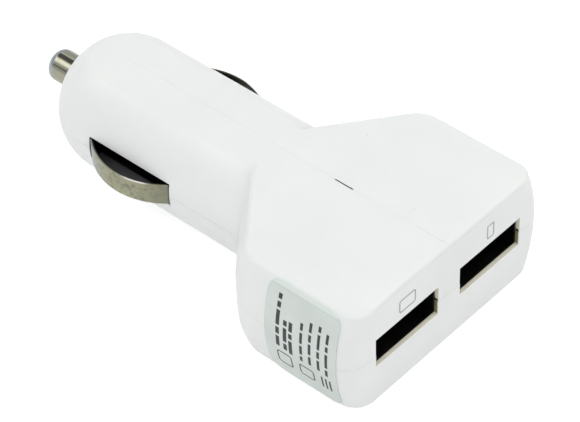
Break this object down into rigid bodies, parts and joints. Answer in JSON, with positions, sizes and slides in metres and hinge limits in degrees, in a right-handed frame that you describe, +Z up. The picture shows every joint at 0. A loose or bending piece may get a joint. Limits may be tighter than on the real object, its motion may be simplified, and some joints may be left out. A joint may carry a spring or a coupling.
{
  "type": "car usb charger plug",
  "caption": "White car socket charger plug: flat-topped head with side-by-side USB-A ports, round barrel with sprung side contacts and a sprung tip contact.",
  "frame": {"origin": "on the plug's axis at the barrel's root, where the head's shoulders run into the flat top of the barrel", "axes": "+Y along the plug towards its tip, +Z up (the side with the light slit), +X to the right seen from the USB ports"},
  "size_m": [0.041, 0.074, 0.0176],
  "materials": {
    "shell_white": "satin white moulded plastic",
    "label_silver": "silver-grey film sticker with a soft sheen",
    "contact_nickel": "nickel-plated spring strip, bright with fine drawing lines",
    "pin_nickel": "nickel-plated turned metal",
    "spring_steel": "drawn spring wire",
    "terminal_brass": "tinned brass sheet",
    "socket_steel": "nickel-plated folded sheet",
    "socket_black": "black moulded insulator",
    "contact_gold": "gold-flashed contact strip",
    "board_green": "green solder mask over glass laminate",
    "can_sleeve": "dark sleeve over an aluminium can",
    "ferrite": "matt dark ferrite",
    "copper_wire": "enamelled copper wire",
    "chip_black": "black moulding compound",
    "tinned_lead": "tinned lead",
    "lamp_lens": "pale tinted resin",
    "ceramic_tan": "fired ceramic chip",
    "lead_cover": "black flexible cover"
  },
  "bodies": {
    "housing": {"upper_shell": "shell_white", "lower_shell": "shell_white", "rating_label": "label_silver", "tip_spring": "spring_steel", "tip_terminal": "terminal_brass", "ground_lead_left": "lead_cover", "ground_lead_right": "lead_cover", "circuit_board": "board_green", "usb_shell_left": "socket_steel", "usb_shell_right": "socket_steel", "usb_tongue_left": "socket_black", "usb_tongue_right": "socket_black", "usb_contacts_left": "contact_gold", "usb_contacts_right": "contact_gold", "input_capacitor": "can_sleeve", "output_capacitor": "can_sleeve", "inductor_core": "ferrite", "inductor_winding": "copper_wire", "converter_chip": "chip_black", "chip_leads": "tinned_lead", "rectifier_diode": "chip_black", "indicator_led": "lamp_lens", "led_leads": "tinned_lead", "chip_resistors": "chip_black", "chip_capacitors": "ceramic_tan"},
    "tip": {"tip_contact": "pin_nickel"},
    "left_contact": {"side_contact_left": "contact_nickel"},
    "right_contact": {"side_contact_right": "contact_nickel"}
  },
  "joints": [
    {"name": "tip_press", "type": "slide", "parent": "housing", "child": "tip", "axis": [0, -1, 0], "range_m": [0, 0.0035], "stiffness_N_per_m": 1200, "springref_m": -0.002, "deforming": ["tip_spring"]},
    {"name": "left_contact_press", "type": "slide", "parent": "housing", "child": "left_contact", "axis": [1, 0, 0], "range_m": [0, 0.0025], "stiffness_N_per_m": 2000, "springref_m": -0.0008, "deforming": ["ground_lead_left"]},
    {"name": "right_contact_press", "type": "slide", "parent": "housing", "child": "right_contact", "axis": [-1, 0, 0], "range_m": [0, 0.0025], "stiffness_N_per_m": 2000, "springref_m": -0.0008, "deforming": ["ground_lead_right"]}
  ]
}
